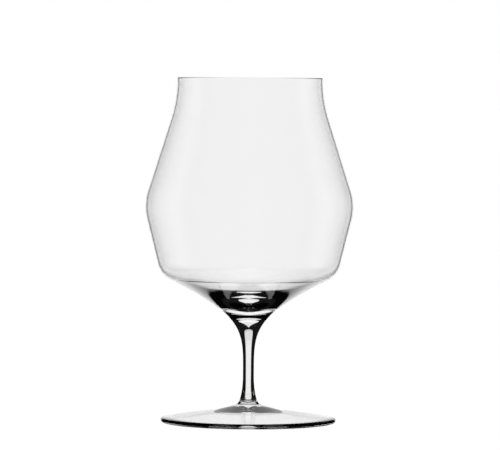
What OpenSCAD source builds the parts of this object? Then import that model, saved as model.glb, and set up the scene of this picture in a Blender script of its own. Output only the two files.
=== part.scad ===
// Tulip beer glass: a blown bowl, a drawn stem and a flattened foot, three gathers of clear glass fused end
// to end. Each piece is turned about the Z axis. The origin is on the table, in the middle of the foot.

/* [Bowl] */
// Height of the bowl, from its joint with the stem up to the lip
bowl_h = 124; // [119:0.5:140]
// Thickness of the blown wall and of the lip
wall = 1; // [0.7:0.05:1.8]
// Outer diameter at the lip
lip_d = 72.8; // [66:0.2:80]
// Depth below the lip at which its upright line would meet the shoulder
neck_drop = 10.8; // [8:0.2:16]
// Radius of the soft bend from the lip into the shoulder
neck_r = 66; // [20:1:66]
// Diameter at which the shoulder and the lower wall would meet
belly_d = 106.4; // [98:0.2:112]
// Height above the joint of the widest place
belly_h = 60.8; // [54:0.2:68]
// Radius of the bend at the widest place
belly_r = 28.4; // [5:0.2:40]
// Diameter at which the lower wall and the underside would meet
heel_d = 88.8; // [82:0.2:94]
// Height of that place above the joint
heel_h = 25.8; // [23:0.2:31]
// Radius of the bend from the lower wall to the underside
heel_r = 12.4; // [4:0.2:18]

/* [Inside of the bowl] */
// How much the radius inside the heel exceeds that of an even wall: below zero, the glass thins there
heel_fill = -0.2; // [-1.5:0.1:4]
// How many degrees flatter the inner floor lies than the underside, so that the base thickens inwards
base_taper = 1.5; // [0:0.1:5]
// How many degrees flatter still the floor lies towards the middle
core_taper = 6.1; // [0.5:0.1:8]
// Diameter within which it does
core_d = 56; // [40:1:64]
// Radius of the soft bend at that diameter
core_r = 80; // [20:1:90]
// Radius of the floor's rounded middle
floor_r = 18; // [5:1:30]

/* [Stem] */
// Length of the stem, from its joint with the foot to its joint with the bowl
stem_h = 35; // [33:0.5:60]
// Diameter of the slender part
stem_d = 5.5; // [4.6:0.1:8]
// Height above the bowl's joint at which the line of the bowl's underside would reach the stem
trumpet_h = 4.7; // [2:0.1:7]
// Length of the trumpet below the bowl's joint
trumpet_l = 22; // [16:0.5:24]
// Length of the flare above the foot's joint
flare_l = 10; // [5:0.5:12.5]

/* [Foot] */
// Height of the foot up to its joint with the stem
foot_h = 13; // [12.5:0.1:16]
// Diameter of the foot
foot_d = 87.6; // [76:0.2:100]
// Thickness of the rounded edge
edge_t = 2.4; // [1.6:0.1:3.4]
// Diameter at which the broad disc turns up into the hub
hub_d = 33.5; // [28:0.5:44]
// Height of the foot's top at that place
hub_h = 6.1; // [4.8:0.1:7]
// Radius of the soft bend at that place
hub_r = 25; // [5:0.5:40]
// Height at which the line of the hub would reach the stem
hub_tip_h = 10; // [9:0.1:11.6]
// Diameter at which the stem's flare runs out on the hub
flare_d = 12; // [9:0.5:20]
// Width of the flat ring that the foot stands on
ring_w = 2.2; // [1:0.1:5]
// Radius of the rounded middle of the hollow under the foot
hollow_r = 60; // [40:1:120]

/* [Hidden] */

// How close the trumpet's two handles are drawn to the corner that it rounds, at the bowl and at the stem
trumpet_shares = [1, 0.76];
// The same for the flare, at the stem and at the hub
flare_shares = [0.5, 0.6];
// Steps along each bend, and along each long sweep
bend_steps = 16;
sweep_steps = 40;
// Halvings with which a height is found on a sweep
halvings = 48;
$fn = 180;

stem_joint_z = foot_h;
bowl_joint_z = foot_h + stem_h;
lip_z = bowl_joint_z + bowl_h;
stem_rad = stem_d / 2;

function unit(v) = v / norm(v);
function mix(a, b, share) = a + (b - a) * share;
function turned(v, angle) = [v.x * cos(angle) - v.y * sin(angle), v.x * sin(angle) + v.y * cos(angle)];

// Where the line through p along u crosses the line through q along v
function meet(p, u, q, v) = p + u * cross(q - p, v) / cross(u, v);

// Square to the way from a to b, on its right-hand side
function right_of(a, b) = let (way = unit(b - a)) [way.y, -way.x];

// The corner b of the path a, b, c when both of its sides are moved to the right by a distance
function inset(a, b, c, distance) =
    let (m = right_of(a, b), n = right_of(b, c))
    b + distance * (m + n) / (1 + m * n);

// The arc of radius r that rounds the corner b of the path a, b, c
function bend(a, b, c, r) =
    let (
        u = unit(a - b),
        v = unit(c - b),
        half = acos(u * v) / 2,
        centre = b + unit(u + v) * r / sin(half),
        start = b + u * r / tan(half) - centre,
        way = sign(cross(v, u)),
        sweep = way * (180 - 2 * half)
    )
    [for (i = [0 : bend_steps]) centre + turned(start, sweep * i / bend_steps)];

// A point on the sweep that leaves p towards the corner and reaches q from it
function sweep_point(p, corner, q, shares, t) =
    let (
        p_handle = mix(p, corner, shares[0]),
        q_handle = mix(q, corner, shares[1]),
        s = 1 - t
    )
    s * s * s * p + 3 * s * s * t * p_handle + 3 * s * t * t * q_handle + t * t * t * q;

function sweep(p, corner, q, shares, from, to) =
    [for (i = [0 : sweep_steps]) sweep_point(p, corner, q, shares, mix(from, to, i / sweep_steps))];

// The place on a falling sweep, from 0 to 1, at which it passes the height z
function place_at(p, corner, q, shares, z, low = 0, high = 1, n = halvings) =
    let (middle = (low + high) / 2)
    n == 0 ? middle
    : sweep_point(p, corner, q, shares, middle).y > z ? place_at(p, corner, q, shares, z, middle, high, n - 1)
    : place_at(p, corner, q, shares, z, low, middle, n - 1);

// Corners of the bowl's outer side, from the lip down to the line of the stem
lip = [lip_d / 2, lip_z];
neck = lip - [0, neck_drop];
belly = [belly_d / 2, bowl_joint_z + belly_h];
shoulder_slope = atan2(belly.x - neck.x, neck.y - belly.y);
// The bend ends below the lip's rounding, on a short neck too
neck_bend_r = min(neck_r, (neck_drop - wall) / tan(shoulder_slope / 2));
heel = [heel_d / 2, bowl_joint_z + heel_h];
trumpet_corner = [stem_rad, bowl_joint_z + trumpet_h];
trumpet_end = [stem_rad, bowl_joint_z - trumpet_l];
heel_bend = bend(belly, heel, trumpet_corner, heel_r);
trumpet_start = heel_bend[bend_steps];
trumpet_joint = place_at(trumpet_start, trumpet_corner, trumpet_end, trumpet_shares, bowl_joint_z);

// Corners of its inner side: the wall follows the outer side, and the floor falls in two slopes to a rounded
// middle
lip_in = [lip_d / 2 - wall, lip_z];
neck_in = inset(lip, neck, belly, wall);
belly_in = inset(neck, belly, heel, wall);
heel_in = inset(belly, heel, trumpet_corner, wall);
underside_rise = atan2(heel.y - trumpet_corner.y, heel.x - trumpet_corner.x);
floor_rise = underside_rise - base_taper;
core_rise = floor_rise - core_taper;
core = [core_d / 2, heel_in.y - (heel_in.x - core_d / 2) * tan(floor_rise)];
floor_tip = [0, core.y - core.x * tan(core_rise)];
floor_centre = floor_tip + [0, floor_r / cos(core_rise)];

// Corners of the foot's top and of the flare that leads up to the stem
flare_start = [stem_rad, stem_joint_z + flare_l];
flare_corner = [stem_rad, hub_tip_h];
hub = [hub_d / 2, hub_h];
flare_end = meet(flare_corner, hub - flare_corner, [flare_d / 2, 0], [0, 1]);
flare_joint = place_at(flare_start, flare_corner, flare_end, flare_shares, stem_joint_z);
edge_top = [foot_d / 2, edge_t];
edge_foot = [foot_d / 2, 0];
ring_in = [foot_d / 2 - edge_t / 2 - ring_w, 0];
// The hollow runs parallel to the top of the disc
disc_rise = atan2(hub_h - edge_t, foot_d / 2 - hub_d / 2);
hollow_centre = [0, ring_in.x * tan(disc_rise) - hollow_r / cos(disc_rise)];

function lip_round() =
    [for (i = [0 : bend_steps]) lip - [wall / 2, wall / 2] + turned([wall / 2, 0], 180 * i / bend_steps)];

function bowl_outside() = concat(
    bend(lip, neck, belly, neck_bend_r),
    bend(neck, belly, heel, belly_r),
    [for (i = [0 : bend_steps - 1]) heel_bend[i]],
    sweep(trumpet_start, trumpet_corner, trumpet_end, trumpet_shares, 0, trumpet_joint)
);

function bowl_inside() = concat(
    bend(lip_in, neck_in, belly_in, neck_bend_r + wall),
    bend(neck_in, belly_in, heel_in, belly_r - wall),
    bend(belly_in, heel_in, core, heel_r - wall + heel_fill),
    bend(heel_in, core, floor_tip, core_r),
    [for (i = [0 : bend_steps])
        floor_centre + turned([0, -floor_r], core_rise * (1 - i / bend_steps))]
);

function reversed(points) = [for (i = [len(points) - 1 : -1 : 0]) points[i]];

// Blown bowl with its fire-polished lip and its solid base
module bowl() {
    color("gainsboro", 0.5)
        rotate_extrude()
            polygon(concat(
                lip_round(),
                bowl_inside(),
                [[0, bowl_joint_z]],
                reversed(bowl_outside())
            ));
}

// Drawn stem, flared at the head into the bowl's base and at the heel into the foot
module stem() {
    color("whitesmoke", 0.6)
        rotate_extrude()
            polygon(concat(
                [[0, stem_joint_z], [0, bowl_joint_z]],
                sweep(trumpet_start, trumpet_corner, trumpet_end, trumpet_shares, trumpet_joint, 1),
                sweep(flare_start, flare_corner, flare_end, flare_shares, 0, flare_joint)
            ));
}

// Flattened foot with its hub, its rounded edge and its hollowed underside
module foot() {
    color("lightgray", 0.5)
        rotate_extrude()
            polygon(concat(
                [[0, stem_joint_z]],
                sweep(flare_start, flare_corner, flare_end, flare_shares, flare_joint, 1),
                bend(flare_end, hub, edge_top, hub_r),
                bend(hub, edge_top, edge_foot, edge_t / 2),
                bend(edge_top, edge_foot, ring_in, edge_t / 2),
                [ring_in],
                [for (i = [0 : bend_steps])
                    hollow_centre + turned([0, hollow_r], -disc_rise * (1 - i / bend_steps))]
            ));
}

bowl();
stem();
foot();
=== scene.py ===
"""Looks of the tulip beer glass: three clear turned pieces on a white table, lit from a bright backdrop."""
import logging
import math
from abc import ABC, abstractmethod
from dataclasses import dataclass
from enum import Enum

import bpy
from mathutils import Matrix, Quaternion, Vector


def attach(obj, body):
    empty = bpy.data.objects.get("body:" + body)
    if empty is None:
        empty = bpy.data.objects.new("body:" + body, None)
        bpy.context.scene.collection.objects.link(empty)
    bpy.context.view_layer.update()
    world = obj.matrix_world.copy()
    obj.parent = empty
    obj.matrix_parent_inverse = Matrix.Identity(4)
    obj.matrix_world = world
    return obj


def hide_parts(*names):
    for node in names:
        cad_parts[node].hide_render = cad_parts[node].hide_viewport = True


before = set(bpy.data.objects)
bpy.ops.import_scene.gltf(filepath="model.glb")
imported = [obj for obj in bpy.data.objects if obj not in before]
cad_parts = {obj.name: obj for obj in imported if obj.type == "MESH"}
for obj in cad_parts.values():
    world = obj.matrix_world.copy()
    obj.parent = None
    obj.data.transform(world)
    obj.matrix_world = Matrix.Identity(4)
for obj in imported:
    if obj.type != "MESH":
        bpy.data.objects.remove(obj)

LOG = logging.getLogger("tulip_glass")
MM = 0.001
FULL_TURN = 2 * math.pi
# Elevation straight up, in degrees
UPRIGHT = 90.0
# Halvings with which a height is found on a sweep
HALVINGS = 48
WHITE = "#ffffff"

Point = Vector
Outline = list[Vector]
Shares = tuple[float, float]
Course = tuple[tuple[float, float], ...]
Tree = bpy.types.NodeTree
Socket = bpy.types.NodeSocket


class Piece(Enum):
    """The three gathers of glass, each with its node's name."""

    BOWL = "bowl"
    STEM = "stem"
    FOOT = "foot"

    @property
    def node(self) -> str:
        """Name of the solid that the piece stands for."""
        return self.value

    @property
    def slot(self) -> str:
        """Name of the record's material slot."""
        return f"{self.value}_glass"


def srgb(code: str) -> tuple[float, float, float, float]:
    """Turns an sRGB hex colour into the linear one that a shader takes.

    Args:
        code: Six hex digits after a hash sign.

    Returns:
        Linear red, green and blue, and an alpha of one.
    """
    parts = [int(code[i:i + 2], 16) / 255 for i in (1, 3, 5)]
    linear = [p / 12.92 if p <= 0.04045 else ((p + 0.055) / 1.055) ** 2.4 for p in parts]
    return (*linear, 1.0)


def add_node(tree: Tree, kind: str, settings: dict[str, str] | None = None,
             **links: Socket | float | tuple[float, ...]) -> bpy.types.Node:
    """Adds a node with its settings and links.

    Args:
        tree: Node tree to add to.
        kind: Type name of the node.
        settings: Properties of the node itself.
        **links: What each input gets: a socket to link, or a value. The name is the input's name with spaces
            as underscores, or i0, i1 and so on for an input by its place.

    Returns:
        The new node.
    """
    node = tree.nodes.new(kind)
    for name, value in (settings or {}).items():
        setattr(node, name, value)
    for name, value in links.items():
        place = int(name[1:]) if name[0] == "i" and name[1:].isdigit() else name.replace("_", " ")
        if isinstance(value, Socket):
            tree.links.new(value, node.inputs[place])
        else:
            node.inputs[place].default_value = value
    return node


def unit(v: Point) -> Point:
    """Returns the vector at a length of one."""
    return v.normalized()


def cross(u: Point, v: Point) -> float:
    """Returns the cross product of two plane vectors."""
    return u.x * v.y - u.y * v.x


def turned(v: Point, angle: float) -> Point:
    """Returns a plane vector turned anticlockwise by an angle in radians."""
    c, s = math.cos(angle), math.sin(angle)
    return Vector((v.x * c - v.y * s, v.x * s + v.y * c))


def meet(p: Point, u: Point, q: Point, v: Point) -> Point:
    """Returns the place where the line through p along u crosses the line through q along v."""
    return p + u * (cross(q - p, v) / cross(u, v))


def inset(a: Point, b: Point, c: Point, distance: float) -> Point:
    """Moves both sides of a corner to the right.

    Args:
        a: Point before the corner.
        b: The corner.
        c: Point after the corner.
        distance: How far each side moves.

    Returns:
        The corner of the moved sides.
    """
    m, n = [Vector((w.y, -w.x)) for w in (unit(b - a), unit(c - b))]
    return b + (m + n) * (distance / (1 + m.dot(n)))


def bend(a: Point, b: Point, c: Point, radius: float, steps: int) -> Outline:
    """Rounds the corner b of the path a, b, c.

    Args:
        a: Point before the corner.
        b: The corner.
        c: Point after the corner.
        radius: Radius of the rounding.
        steps: Number of steps along the arc.

    Returns:
        The points of the arc.
    """
    u, v = unit(a - b), unit(c - b)
    half = math.acos(u.dot(v)) / 2
    centre = b + unit(u + v) * (radius / math.sin(half))
    start = b + u * (radius / math.tan(half)) - centre
    way = math.copysign(math.pi - 2 * half, cross(v, u))
    return [centre + turned(start, way * i / steps) for i in range(steps + 1)]


@dataclass(frozen=True)
class Sweep:
    """A smooth run that leaves one line and settles on another, as hot glass draws out."""

    start: Point
    corner: Point
    end: Point
    shares: Shares

    def point(self, t: float) -> Point:
        """Finds a point of the run.

        Args:
            t: Share of the way from the start, from 0 to 1.

        Returns:
            The point.
        """
        p = self.start.lerp(self.corner, self.shares[0])
        q = self.end.lerp(self.corner, self.shares[1])
        s = 1 - t
        return self.start * s ** 3 + p * (3 * s * s * t) + q * (3 * s * t * t) + self.end * t ** 3

    def place_at(self, height: float) -> float:
        """Finds where the falling run passes a height.

        Args:
            height: The height.

        Returns:
            The share of the way.
        """
        low, high = 0.0, 1.0
        for _ in range(HALVINGS):
            middle = (low + high) / 2
            low, high = (middle, high) if self.point(middle).y > height else (low, middle)
        return (low + high) / 2

    def run(self, begin: float, finish: float, steps: int) -> Outline:
        """Returns points from one share of the way to another."""
        return [self.point(begin + (finish - begin) * i / steps) for i in range(steps + 1)]


@dataclass(frozen=True)
class ClearGlass:
    """Crystal glass: colourless, fire-polished, with the faint cords that gathering leaves in it.

    It gives the eye hard dark edges, a clear middle and a slight waver in what is seen through thick places.
    Cords are cord_mm wide and drawn out along the axis, and a wiped haze clouds the polish in patches of
    haze_mm. A foot is also scuffed up to scuff_top_mm, where it slides on tables.
    """

    name: str
    tint: str
    cord_mm: float
    cord_stretch: float
    cord_depth_mm: float
    haze: float
    haze_mm: float
    scuff: float = 0.0
    scuff_top_mm: float = 0.0
    ior: float = 1.51
    polish: float = 0.0
    cord_detail: float = 1.0
    cord_fineness: float = 0.4
    haze_detail: float = 3.0
    haze_from: float = 0.35
    haze_to: float = 0.75

    def material(self) -> bpy.types.Material:
        """Builds the glass's node material.

        Returns:
            The material.
        """
        made = bpy.data.materials.new(self.name)
        made.use_nodes = True
        tree = made.node_tree
        tree.nodes.clear()
        place = add_node(tree, "ShaderNodeTexCoord").outputs["Object"]
        drawn = add_node(tree, "ShaderNodeMapping", Vector=place, Scale=(1, 1, self.cord_stretch))
        cord = add_node(tree, "ShaderNodeTexNoise", Vector=drawn.outputs[0], Scale=1 / (self.cord_mm * MM),
                        Detail=self.cord_detail, Roughness=self.cord_fineness)
        waver = add_node(tree, "ShaderNodeBump", Height=cord.outputs["Fac"], Strength=1.0,
                         Distance=self.cord_depth_mm * MM)
        wipe = add_node(tree, "ShaderNodeTexNoise", Vector=place, Scale=1 / (self.haze_mm * MM),
                        Detail=self.haze_detail)
        rough = add_node(tree, "ShaderNodeMapRange", Value=wipe.outputs["Fac"], i1=self.haze_from,
                         i2=self.haze_to, i3=self.polish, i4=self.haze).outputs[0]
        if self.scuff:
            height = add_node(tree, "ShaderNodeSeparateXYZ", Vector=place).outputs["Z"]
            near = add_node(tree, "ShaderNodeMapRange", Value=height, i1=self.scuff_top_mm * MM, i2=0.0,
                            i3=0.0, i4=self.scuff).outputs[0]
            rough = add_node(tree, "ShaderNodeMath", {"operation": "ADD"}, i0=rough, i1=near).outputs[0]
        shader = add_node(tree, "ShaderNodeBsdfPrincipled", Base_Color=srgb(self.tint), IOR=self.ior,
                          Roughness=rough, Normal=waver.outputs["Normal"], Transmission_Weight=1.0)
        add_node(tree, "ShaderNodeOutputMaterial", Surface=shader.outputs["BSDF"])
        return made


@dataclass(frozen=True)
class FusedJoint:
    """The place where two gathers were fused: the glass runs on, so it gives the eye nothing at all."""

    name: str = "Fused glass joint"

    def material(self) -> bpy.types.Material:
        """Builds a material that light passes straight through, once for all joints.

        Returns:
            The material.
        """
        made = bpy.data.materials.get(self.name)
        if made:
            return made
        made = bpy.data.materials.new(self.name)
        made.use_nodes = True
        tree = made.node_tree
        tree.nodes.clear()
        shader = add_node(tree, "ShaderNodeBsdfTransparent", Color=srgb(WHITE))
        add_node(tree, "ShaderNodeOutputMaterial", Surface=shader.outputs["BSDF"])
        return made


@dataclass
class TurnedPiece(ABC):
    """A piece of glass turned about the Z axis. Lengths are in millimetres until it is a mesh."""

    piece: Piece
    finish: ClearGlass
    turn_steps: int = 256
    bend_steps: int = 28
    sweep_steps: int = 72
    run_step: float = 6.0
    guard_step: float = 0.12
    least_step: float = 1e-5
    weld: float = 0.001
    smooth_degrees: float = 30.0
    level: float = 0.999

    @property
    @abstractmethod
    def joints_z(self) -> tuple[float, ...]:
        """Heights of the flat faces on which the piece is fused to others."""

    @abstractmethod
    def outline(self) -> Outline:
        """Returns the closed half section, which starts and ends on the axis."""

    def cut_runs(self, points: Outline) -> Outline:
        """Cuts long straight runs up, so that shading stays true beside the bends.

        Args:
            points: The half section.

        Returns:
            The half section with short steps only, and without doubled points.
        """
        cut = [points[0]]
        for point in points[1:]:
            start, way = cut[-1].copy(), point - cut[-1]
            if way.length < self.least_step:
                continue
            if way.length > self.run_step and abs(way.y) > self.least_step:
                guard = self.guard_step / way.length
                parts = math.ceil(way.length / self.run_step)
                cut += [start + way * (guard + (1 - 2 * guard) * i / parts) for i in range(parts + 1)]
            cut.append(point)
        return cut

    def build(self) -> bpy.types.Object:
        """Draws the half section point by point, spins it round and closes it.

        Returns:
            The finished object, which rides on the part's one body.
        """
        points = [Vector((p.x, 0, p.y)) * MM for p in self.cut_runs(self.outline())]
        bpy.ops.object.select_all(action="DESELECT")
        bpy.ops.mesh.primitive_plane_add(size=MM, location=(0, 0, 0))
        made = bpy.context.object
        made.name = made.data.name = f"{self.piece.node}_gather"
        bpy.ops.object.mode_set(mode="EDIT")
        bpy.ops.mesh.select_all(action="SELECT")
        bpy.ops.mesh.merge(type="CENTER")
        bpy.ops.transform.translate(value=points[0])
        for last, point in zip(points, points[1:]):
            bpy.ops.mesh.extrude_vertices_move(TRANSFORM_OT_translate={"value": point - last})
        bpy.ops.mesh.select_all(action="SELECT")
        bpy.ops.mesh.spin(steps=self.turn_steps, angle=FULL_TURN, center=(0, 0, 0), axis=(0, 0, 1))
        bpy.ops.mesh.select_all(action="SELECT")
        bpy.ops.mesh.remove_doubles(threshold=self.weld * MM)
        bpy.ops.mesh.normals_make_consistent(inside=False)
        bpy.ops.object.mode_set(mode="OBJECT")
        bpy.ops.object.shade_smooth_by_angle(angle=math.radians(self.smooth_degrees))
        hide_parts(self.piece.node)
        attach(made, "root")
        return made

    def dress(self, made: bpy.types.Object) -> None:
        """Gives the piece its glass, and its joints nothing to see.

        Args:
            made: The built object.
        """
        made.data.materials.append(self.finish.material())
        made.data.materials.append(FusedJoint().material())
        for face in made.data.polygons:
            flat = abs(face.normal.z) > self.level
            fused = flat and any(abs(face.center.z / MM - z) < self.weld for z in self.joints_z)
            face.material_index = int(fused)


@dataclass
class Bowl(TurnedPiece):
    """The blown bowl, with its lip and its thick base."""

    bowl_h: float = 124
    wall: float = 1
    lip_d: float = 72.8
    lip_steps: int = 16
    neck_drop: float = 10.8
    neck_r: float = 66
    belly_d: float = 106.4
    belly_h: float = 60.8
    belly_r: float = 28.4
    heel_d: float = 88.8
    heel_h: float = 25.8
    heel_r: float = 12.4
    heel_fill: float = -0.2
    base_taper: float = 1.5
    core_taper: float = 6.1
    core_d: float = 56
    core_r: float = 80
    floor_r: float = 18
    joint_z: float = 48
    stem_d: float = 5.5
    trumpet_h: float = 4.7
    trumpet_l: float = 22
    trumpet_shares: Shares = (1, 0.76)

    @property
    def joints_z(self) -> tuple[float, ...]:
        """Height of the joint with the stem."""
        return (self.joint_z,)

    @property
    def lip(self) -> Point:
        """Outer corner of the lip."""
        return Vector((self.lip_d / 2, self.joint_z + self.bowl_h))

    @property
    def neck(self) -> Point:
        """Corner between the lip's upright line and the shoulder."""
        return self.lip - Vector((0, self.neck_drop))

    @property
    def belly(self) -> Point:
        """Corner between the shoulder and the lower wall."""
        return Vector((self.belly_d / 2, self.joint_z + self.belly_h))

    @property
    def heel(self) -> Point:
        """Corner between the lower wall and the underside."""
        return Vector((self.heel_d / 2, self.joint_z + self.heel_h))

    @property
    def neck_bend_r(self) -> float:
        """Radius of the neck's bend, kept within the neck's length."""
        slope = math.atan2(self.belly.x - self.neck.x, self.neck.y - self.belly.y)
        return min(self.neck_r, (self.neck_drop - self.wall) / math.tan(slope / 2))

    def trumpet(self) -> Sweep:
        """Draws the run from the underside down into the stem.

        Returns:
            The run.
        """
        corner = Vector((self.stem_d / 2, self.joint_z + self.trumpet_h))
        end = Vector((self.stem_d / 2, self.joint_z - self.trumpet_l))
        start = bend(self.belly, self.heel, corner, self.heel_r, 1)[-1]
        return Sweep(start, corner, end, self.trumpet_shares)

    def outside(self) -> Outline:
        """Draws the outer side.

        Returns:
            Its points, from the lip down to the joint.
        """
        trumpet = self.trumpet()
        return [
            *bend(self.lip, self.neck, self.belly, self.neck_bend_r, self.bend_steps),
            *bend(self.neck, self.belly, self.heel, self.belly_r, self.bend_steps),
            *bend(self.belly, self.heel, trumpet.corner, self.heel_r, self.bend_steps),
            *trumpet.run(0, trumpet.place_at(self.joint_z), self.sweep_steps),
        ]

    def inside(self) -> Outline:
        """Draws the inner side: an even wall, then a floor that falls in two slopes to a rounded middle.

        Returns:
            Its points, from the lip down to the middle of the floor.
        """
        corner = self.trumpet().corner
        lip_in = self.lip - Vector((self.wall, 0))
        neck_in = inset(self.lip, self.neck, self.belly, self.wall)
        belly_in = inset(self.neck, self.belly, self.heel, self.wall)
        heel_in = inset(self.belly, self.heel, corner, self.wall)
        underside = self.heel - corner
        floor_rise = math.atan2(underside.y, underside.x) - math.radians(self.base_taper)
        core_rise = floor_rise - math.radians(self.core_taper)
        core_x = self.core_d / 2
        core = Vector((core_x, heel_in.y - (heel_in.x - core_x) * math.tan(floor_rise)))
        tip = core - Vector((core.x, core.x * math.tan(core_rise)))
        centre = tip + Vector((0, self.floor_r / math.cos(core_rise)))
        down = Vector((0, -self.floor_r))
        steps = self.bend_steps
        return [
            *bend(lip_in, neck_in, belly_in, self.neck_bend_r + self.wall, steps),
            *bend(neck_in, belly_in, heel_in, self.belly_r - self.wall, steps),
            *bend(belly_in, heel_in, core, self.heel_r - self.wall + self.heel_fill, steps),
            *bend(heel_in, core, tip, self.core_r, steps),
            *[centre + turned(down, core_rise * (1 - i / steps)) for i in range(steps + 1)],
        ]

    def outline(self) -> Outline:
        """Draws the closed half section.

        Returns:
            Its points, from the floor's middle up, over the rounded lip and down to the joint.
        """
        half = self.wall / 2
        centre = self.lip - Vector((half, half))
        rounding = [centre + turned(Vector((half, 0)), math.pi * (1 - i / self.lip_steps))
                    for i in range(self.lip_steps + 1)]
        return [*reversed(self.inside()), *rounding, *self.outside(), Vector((0, self.joint_z))]


@dataclass
class Foot(TurnedPiece):
    """The flattened foot, with its hub, its rounded edge and its hollowed underside."""

    foot_h: float = 13
    foot_d: float = 87.6
    edge_t: float = 2.4
    hub_d: float = 33.5
    hub_h: float = 6.1
    hub_r: float = 25
    hub_tip_h: float = 10
    stem_d: float = 5.5
    flare_l: float = 10
    flare_d: float = 12
    flare_shares: Shares = (0.5, 0.6)
    ring_w: float = 2.2
    hollow_r: float = 60

    @property
    def joints_z(self) -> tuple[float, ...]:
        """Height of the joint with the stem."""
        return (self.foot_h,)

    @property
    def hub(self) -> Point:
        """Corner where the broad disc turns up into the hub."""
        return Vector((self.hub_d / 2, self.hub_h))

    def flare(self) -> Sweep:
        """Draws the run from the stem down on to the hub.

        Returns:
            The run.
        """
        start = Vector((self.stem_d / 2, self.foot_h + self.flare_l))
        corner = Vector((self.stem_d / 2, self.hub_tip_h))
        end = meet(corner, self.hub - corner, Vector((self.flare_d / 2, 0)), Vector((0, 1)))
        return Sweep(start, corner, end, self.flare_shares)

    def outline(self) -> Outline:
        """Draws the closed half section. The hollow runs parallel to the top of the disc.

        Returns:
            Its points, from the stem's joint, over the edge and along the hollow.
        """
        flare = self.flare()
        edge_top, edge_low = Vector((self.foot_d / 2, self.edge_t)), Vector((self.foot_d / 2, 0))
        ring_in = Vector((self.foot_d / 2 - self.edge_t / 2 - self.ring_w, 0))
        rise = math.atan2(self.hub.y - self.edge_t, edge_top.x - self.hub.x)
        centre = Vector((0, ring_in.x * math.tan(rise) - self.hollow_r / math.cos(rise)))
        up = Vector((0, self.hollow_r))
        steps = self.bend_steps
        return [
            Vector((0, self.foot_h)),
            *flare.run(flare.place_at(self.foot_h), 1, self.sweep_steps // 2),
            *bend(flare.end, self.hub, edge_top, self.hub_r, steps),
            *bend(self.hub, edge_top, edge_low, self.edge_t / 2, steps // 2),
            *bend(edge_top, edge_low, ring_in, self.edge_t / 2, steps // 2),
            ring_in,
            *[centre + turned(up, -rise * (1 - i / steps)) for i in range(steps + 1)],
        ]


@dataclass(kw_only=True)
class Stem(TurnedPiece):
    """The drawn stem, which takes its flared ends from the bowl and from the foot."""

    bowl: Bowl
    foot: Foot

    @property
    def joints_z(self) -> tuple[float, ...]:
        """Heights of the joints with the foot and with the bowl."""
        return (self.foot.foot_h, self.bowl.joint_z)

    def outline(self) -> Outline:
        """Draws the closed half section.

        Returns:
            Its points, from the bowl's joint down to the foot's.
        """
        trumpet, flare = self.bowl.trumpet(), self.foot.flare()
        low, top = self.joints_z
        return [
            Vector((0, top)),
            *trumpet.run(trumpet.place_at(top), 1, self.sweep_steps),
            *flare.run(0, flare.place_at(low), self.sweep_steps // 2),
            Vector((0, low)),
        ]


class Seen(Enum):
    """How the glass shows a panel of the studio."""

    THROUGH = "in light that is bent on its way through"
    STRAIGHT = "only in light that was never mirrored inside"
    MIRRORED = "as a mirror image on a face"
    WALLED = "only in light that was mirrored once inside a wall and came out again"


@dataclass(frozen=True)
class WhitePanel:
    """A white panel of the studio, seen only in the glass. Angles are in degrees.

    turn is its heading from +Y towards +X, and low and high are the elevations between which it is white.
    half and light pair rising elevations with its half width and with how bright it is there, and soft is
    half the width of its blurred edge.
    """

    seen: Seen
    turn: float
    low: float
    high: float
    half: Course
    light: Course = ((0, 1),)
    soft: float = 0.6


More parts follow.
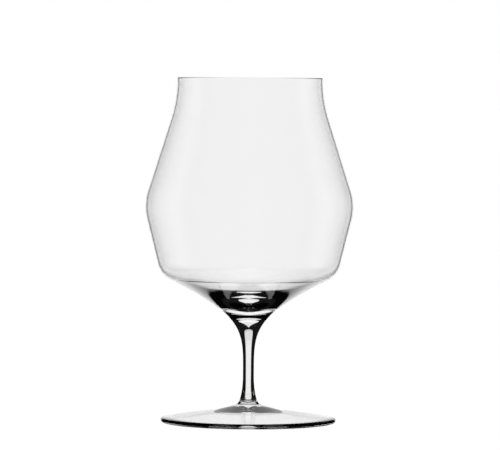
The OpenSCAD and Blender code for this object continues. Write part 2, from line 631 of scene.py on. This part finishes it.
@dataclass(frozen=True)
class Studio:
    """White table, white backdrop, dark sides, and a long lens at the height of the lip."""

    panels: tuple[WhitePanel, ...] = (
        # The backdrop, as it shows through the glass
        WhitePanel(Seen.THROUGH, turn=0, low=-51, high=91, half=((-12, 17), (-3, 19)),
                   light=((4, 1.04), (12, 0.9))),
        # The same backdrop, as the faces of the thick base and of the foot mirror it
        WhitePanel(Seen.MIRRORED, turn=0, low=-52, high=91,
                   half=((-52, 10), (-48, 12.8), (-42, 15), (-12, 15.2), (-3, 19)),
                   light=((-52, 0.5), (-44, 0.75), (-33, 1.25), (-24, 1.65), (-16, 1.55), (-4, 1.04),
                          (4, 1.04), (12, 0.72))),
        # Soft light from both sides, which pales the bowl just inside its dark outline
        WhitePanel(Seen.WALLED, turn=-60, low=-30, high=30, half=((0, 36),), light=((0, 1.4),), soft=14),
        WhitePanel(Seen.WALLED, turn=60, low=-30, high=30, half=((0, 36),), light=((0, 1.4),), soft=14),
        # White behind the glass for three views from its sides and back, and under it for views from above.
        # From other headings the glass shows the dark studio
        WhitePanel(Seen.STRAIGHT, turn=-90, low=-11, high=5, half=((0, 8),)),
        WhitePanel(Seen.STRAIGHT, turn=-45, low=-31, high=-20, half=((0, 6),)),
        WhitePanel(Seen.STRAIGHT, turn=135, low=-24, high=-6, half=((0, 8),)),
        WhitePanel(Seen.STRAIGHT, turn=0, low=-91, high=-52, half=((0, 181),)),
    )
    dark: float = 0.008
    table_m: float = 40
    table_glow: float = 1.03
    table_glow_share: float = 0.92
    lens_mm: float = 296.8
    sensor_mm: float = 36
    reach_m: float = 100
    distance_mm: float = 2054
    eye_mm: float = 172
    tilt: float = 2.047
    roll: float = 0.36
    aside_mm: float = 0.34
    # Faces that light passes on its way in and out of a wall, mirrorings inside it, and half a count
    wall_faces: float = 2.0
    wall_mirrorings: float = 1.0
    half_count: float = 0.5

    def gates(self, tree: Tree, ray: bpy.types.bpy_prop_collection) -> dict[Seen, Socket]:
        """Adds what tells how a ray came to leave the glass.

        Args:
            tree: The world's node tree.
            ray: Outputs of its light path node.

        Returns:
            For each way of seeing a panel, a value that is one where it holds and zero elsewhere.
        """
        bent = ray["Is Transmission Ray"]
        mirrored = add_node(tree, "ShaderNodeMath", {"operation": "SUBTRACT"}, i0=1.0, i1=bent).outputs[0]
        clear = add_node(tree, "ShaderNodeMath", {"operation": "LESS_THAN"}, i0=ray["Glossy Depth"],
                         i1=self.half_count).outputs[0]
        straight = add_node(tree, "ShaderNodeMath", {"operation": "MULTIPLY"}, i0=clear, i1=bent).outputs[0]
        once = add_node(tree, "ShaderNodeMath", {"operation": "COMPARE"}, i0=ray["Glossy Depth"],
                        i1=self.wall_mirrorings, i2=self.half_count).outputs[0]
        walled = add_node(tree, "ShaderNodeMath", {"operation": "COMPARE"}, i0=ray["Transmission Depth"],
                          i1=self.wall_faces, i2=self.half_count).outputs[0]
        for other in (bent, once):
            walled = add_node(tree, "ShaderNodeMath", {"operation": "MULTIPLY"}, i0=walled,
                              i1=other).outputs[0]
        return {Seen.THROUGH: bent, Seen.STRAIGHT: straight, Seen.MIRRORED: mirrored, Seen.WALLED: walled}

    def world(self) -> None:
        """Builds the world: white to the eye and to matt surfaces, panels and dark sides to the glass."""
        made = bpy.data.worlds.new("Studio")
        bpy.context.scene.world = made
        made.use_nodes = True
        tree = made.node_tree
        tree.nodes.clear()
        way = add_node(tree, "ShaderNodeTexCoord").outputs["Generated"]
        height = add_node(tree, "ShaderNodeSeparateXYZ", Vector=way).outputs["Z"]
        rise = add_node(tree, "ShaderNodeMath", {"operation": "ARCSINE"}, i0=height).outputs[0]
        rise = add_node(tree, "ShaderNodeMath", {"operation": "DEGREES"}, i0=rise).outputs[0]
        ray = add_node(tree, "ShaderNodeLightPath").outputs
        gates = self.gates(tree, ray)
        total = self.dark
        for panel in self.panels:
            light = self.panel_light(tree, panel, way, rise)
            light = add_node(tree, "ShaderNodeMath", {"operation": "MULTIPLY"}, i0=light,
                             i1=gates[panel.seen]).outputs[0]
            total = add_node(tree, "ShaderNodeMath", {"operation": "MAXIMUM"}, i0=light, i1=total).outputs[0]
        in_glass = add_node(tree, "ShaderNodeMath", {"operation": "MAXIMUM"}, i0=ray["Is Glossy Ray"],
                            i1=ray["Is Transmission Ray"]).outputs[0]
        strength = add_node(tree, "ShaderNodeMix", {"data_type": "FLOAT"}, Factor=in_glass, i2=1.0, i3=total)
        shade = add_node(tree, "ShaderNodeBackground", Color=srgb(WHITE), Strength=strength.outputs[0])
        add_node(tree, "ShaderNodeOutputWorld", Surface=shade.outputs[0])

    def panel_light(self, tree: Tree, panel: WhitePanel, way: Socket, rise: Socket) -> Socket:
        """Adds one panel to the world.

        Args:
            tree: The world's node tree.
            panel: The panel.
            way: The ray's direction.
            rise: The ray's elevation, in degrees.

        Returns:
            The panel's light along the ray.
        """
        faced = add_node(tree, "ShaderNodeVectorRotate", {"rotation_type": "Z_AXIS"}, Vector=way,
                         Angle=math.radians(panel.turn))
        axes = add_node(tree, "ShaderNodeSeparateXYZ", Vector=faced.outputs[0]).outputs
        aside = add_node(tree, "ShaderNodeMath", {"operation": "ARCTAN2"}, i0=axes["X"],
                         i1=axes["Y"]).outputs[0]
        aside = add_node(tree, "ShaderNodeMath", {"operation": "DEGREES"}, i0=aside).outputs[0]
        aside = add_node(tree, "ShaderNodeMath", {"operation": "ABSOLUTE"}, i0=aside).outputs[0]
        half = self.follow(tree, panel.half, rise)
        spare = add_node(tree, "ShaderNodeMath", {"operation": "SUBTRACT"}, i0=half, i1=aside).outputs[0]
        over = add_node(tree, "ShaderNodeMath", {"operation": "SUBTRACT"}, i0=rise, i1=panel.low).outputs[0]
        under = add_node(tree, "ShaderNodeMath", {"operation": "SUBTRACT"}, i0=panel.high, i1=rise).outputs[0]
        light = self.follow(tree, panel.light, rise)
        for margin in (spare, over, under):
            share = add_node(tree, "ShaderNodeMapRange", {"interpolation_type": "SMOOTHSTEP"}, Value=margin,
                             i1=-panel.soft, i2=panel.soft, i3=0.0, i4=1.0).outputs[0]
            light = add_node(tree, "ShaderNodeMath", {"operation": "MULTIPLY"}, i0=light, i1=share).outputs[0]
        return light

    def follow(self, tree: Tree, course: Course, rise: Socket) -> Socket:
        """Adds a value that changes with the elevation.

        Args:
            tree: The world's node tree.
            course: Pairs of a rising elevation and the value there.
            rise: The ray's elevation, in degrees.

        Returns:
            The value along the ray.
        """
        share = add_node(tree, "ShaderNodeMapRange", Value=rise, i1=-UPRIGHT, i2=UPRIGHT, i3=0.0,
                         i4=1.0).outputs[0]
        ramp = add_node(tree, "ShaderNodeValToRGB", Fac=share)
        stops = ramp.color_ramp.elements
        stops.remove(stops[1])
        for elevation, value in course:
            place = (elevation + UPRIGHT) / (2 * UPRIGHT)
            stop = stops[0] if elevation == course[0][0] else stops.new(place)
            stop.position = place
            stop.color = (value, value, value, 1)
        return ramp.outputs["Color"]

    def table(self) -> None:
        """Builds the white table, which shows the eye white with a faint shadow."""
        bpy.ops.object.select_all(action="DESELECT")
        bpy.ops.mesh.primitive_plane_add(size=self.table_m, location=(0, 0, 0))
        made = bpy.context.object
        made.name = "table"
        made.visible_transmission = False
        made.visible_glossy = False
        # Matt white, so that it gives the eye an even field and the glass's shadow
        sheet = bpy.data.materials.new("White laminate")
        sheet.use_nodes = True
        tree = sheet.node_tree
        tree.nodes.clear()
        matt = add_node(tree, "ShaderNodeBsdfDiffuse", Color=srgb("#f4f4f4"))
        glow = add_node(tree, "ShaderNodeEmission", Color=srgb(WHITE), Strength=self.table_glow)
        both = add_node(tree, "ShaderNodeMixShader", i0=self.table_glow_share, i1=matt.outputs[0],
                        i2=glow.outputs[0])
        ray = add_node(tree, "ShaderNodeLightPath").outputs
        look = add_node(tree, "ShaderNodeMixShader", i0=ray["Is Camera Ray"], i1=matt.outputs[0],
                        i2=both.outputs[0])
        add_node(tree, "ShaderNodeOutputMaterial", Surface=look.outputs[0])
        made.data.materials.append(sheet)

    def camera(self) -> None:
        """Sets the camera level with the lip, tilted down to the glass."""
        lens = bpy.data.cameras.new("camera")
        lens.sensor_fit = "HORIZONTAL"
        lens.sensor_width = self.sensor_mm
        lens.lens = self.lens_mm
        lens.clip_end = self.reach_m
        made = bpy.data.objects.new("camera", lens)
        bpy.context.collection.objects.link(made)
        made.location = Vector((self.aside_mm, -self.distance_mm, self.eye_mm)) * MM
        made.rotation_mode = "QUATERNION"
        made.rotation_quaternion = (Quaternion((1, 0, 0), math.radians(UPRIGHT - self.tilt))
                                    @ Quaternion((0, 0, 1), math.radians(self.roll)))
        bpy.context.scene.camera = made


def main() -> None:
    """Builds the glass and its studio."""
    logging.basicConfig(level=logging.INFO, format="%(message)s")
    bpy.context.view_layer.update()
    bpy.context.scene.view_settings.view_transform = "Standard"
    blown = ClearGlass("Blown crystal", "#ffffff", cord_mm=26, cord_stretch=0.5, cord_depth_mm=0.004,
                       haze=0.02, haze_mm=30)
    drawn = ClearGlass("Drawn crystal", "#f1f2f1", cord_mm=9, cord_stretch=0.2, cord_depth_mm=0.004,
                       haze=0.02, haze_mm=20)
    pressed = ClearGlass("Pressed crystal", "#f6f7f6", cord_mm=14, cord_stretch=1.0, cord_depth_mm=0.01,
                         haze=0.03, haze_mm=18, scuff=0.15, scuff_top_mm=0.3)
    bowl = Bowl(Piece.BOWL, blown)
    foot = Foot(Piece.FOOT, pressed)
    stem = Stem(piece=Piece.STEM, finish=drawn, bowl=bowl, foot=foot)
    for part in (bowl, stem, foot):
        made = part.build()
        part.dress(made)
        LOG.info("%s: %d faces", made.name, len(made.data.polygons))
    studio = Studio()
    studio.world()
    studio.table()
    studio.camera()


if __name__ == "__main__":
    main()
